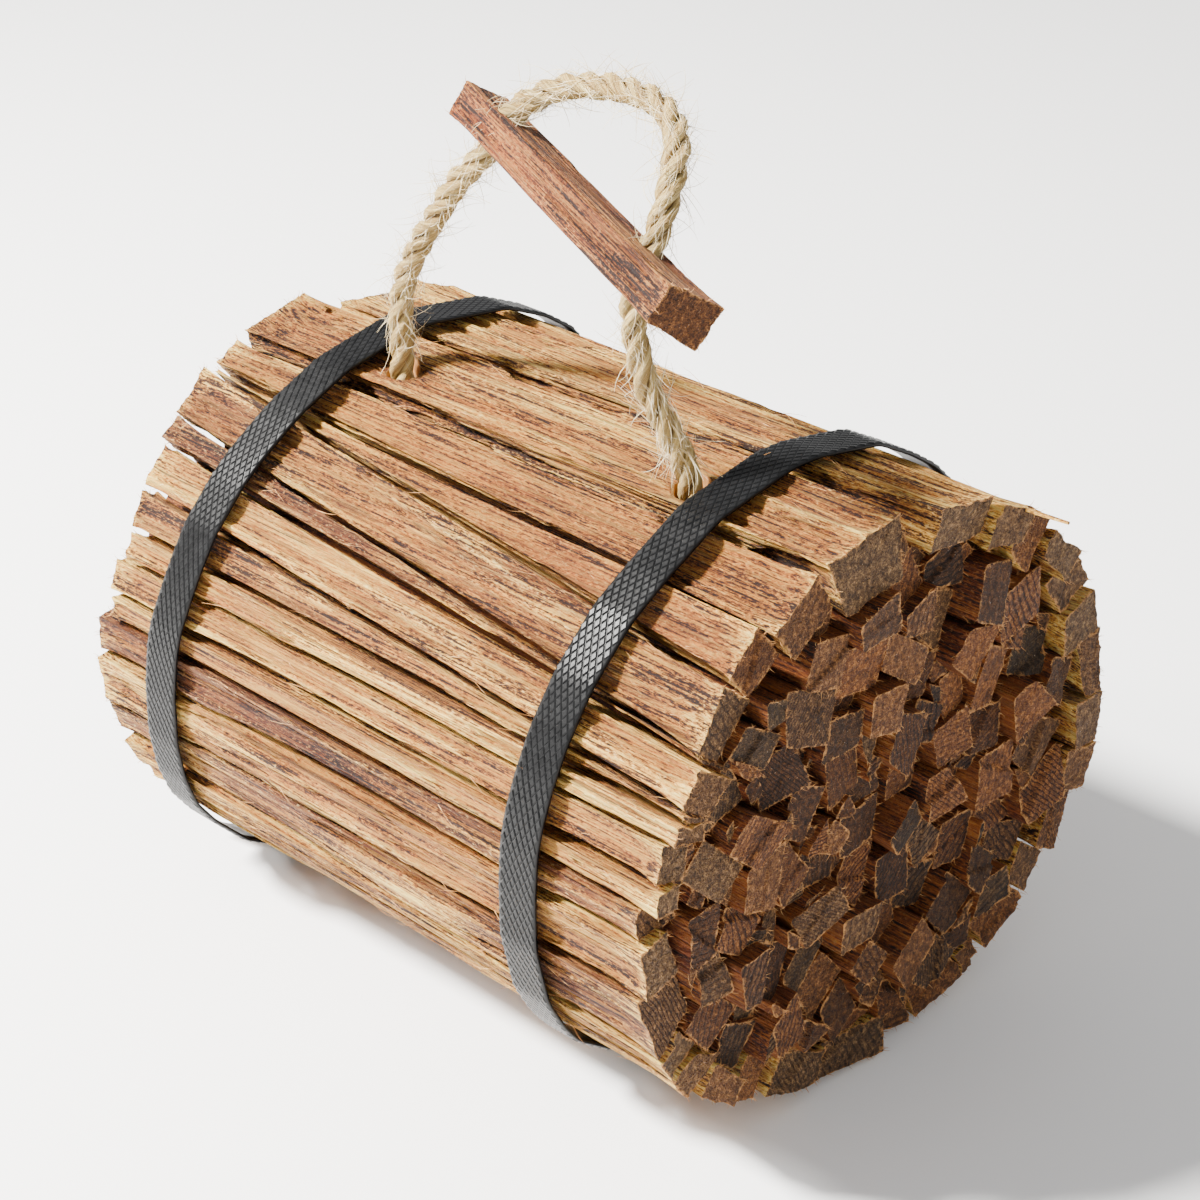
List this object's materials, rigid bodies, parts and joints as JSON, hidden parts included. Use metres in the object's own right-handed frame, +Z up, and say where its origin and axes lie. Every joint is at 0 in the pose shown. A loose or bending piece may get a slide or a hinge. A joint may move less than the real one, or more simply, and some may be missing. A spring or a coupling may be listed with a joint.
{
  "type": "bundle of split fatwood kindling sticks",
  "caption": "Bundle of split kindling sticks lying on its side, held by two flat straps, with a rope handle threaded through a loose wooden grip.",
  "frame": {"origin": "middle of the bundle's base, on the surface that it lies on", "axes": "+X along the sticks, towards the sawn face below the low end of the grip; +Z up"},
  "size_m": [0.2304, 0.1688, 0.2414],
  "materials": {
    "split_wood": "rough",
    "red_wood": "rough",
    "strap": "satin",
    "rope": "rough"
  },
  "bodies": {
    "root": {"grip": "red_wood", "inner_stick_01": "split_wood", "inner_stick_02": "split_wood", "inner_stick_03": "split_wood", "inner_stick_04": "split_wood", "inner_stick_05": "split_wood", "inner_stick_06": "split_wood", "inner_stick_07": "split_wood", "inner_stick_08": "split_wood", "inner_stick_09": "split_wood", "inner_stick_10": "split_wood", "inner_stick_11": "split_wood", "inner_stick_12": "split_wood", "inner_stick_13": "split_wood", "inner_stick_14": "split_wood", "inner_stick_15": "split_wood", "inner_stick_16": "split_wood", "inner_stick_17": "split_wood", "inner_stick_18": "split_wood", "inner_sticks": "split_wood", "outer_stick_02": "split_wood", "outer_stick_03": "split_wood", "outer_stick_04": "split_wood", "outer_stick_05": "split_wood", "outer_stick_06": "split_wood", "outer_stick_07": "split_wood", "outer_stick_08": "split_wood", "outer_stick_09": "split_wood", "outer_stick_10": "split_wood", "outer_stick_11": "split_wood", "outer_stick_12": "split_wood", "outer_stick_13": "split_wood", "outer_stick_14": "split_wood", "outer_stick_15": "split_wood", "outer_stick_16": "split_wood", "outer_stick_17": "split_wood", "outer_stick_18": "split_wood", "outer_stick_19": "split_wood", "outer_stick_20": "split_wood", "outer_stick_21": "split_wood", "outer_stick_22": "split_wood", "outer_stick_23": "split_wood", "outer_stick_24": "split_wood", "outer_stick_25": "split_wood", "outer_stick_26": "split_wood", "outer_stick_27": "split_wood", "outer_stick_28": "split_wood", "outer_stick_29": "split_wood", "outer_stick_30": "split_wood", "outer_stick_31": "split_wood", "outer_stick_32": "split_wood", "outer_stick_splintered": "split_wood", "outer_stick_top": "split_wood", "rope": "rope", "rope_plank": "split_wood", "strap_back": "strap", "strap_front": "strap"}
  },
  "joints": []
}
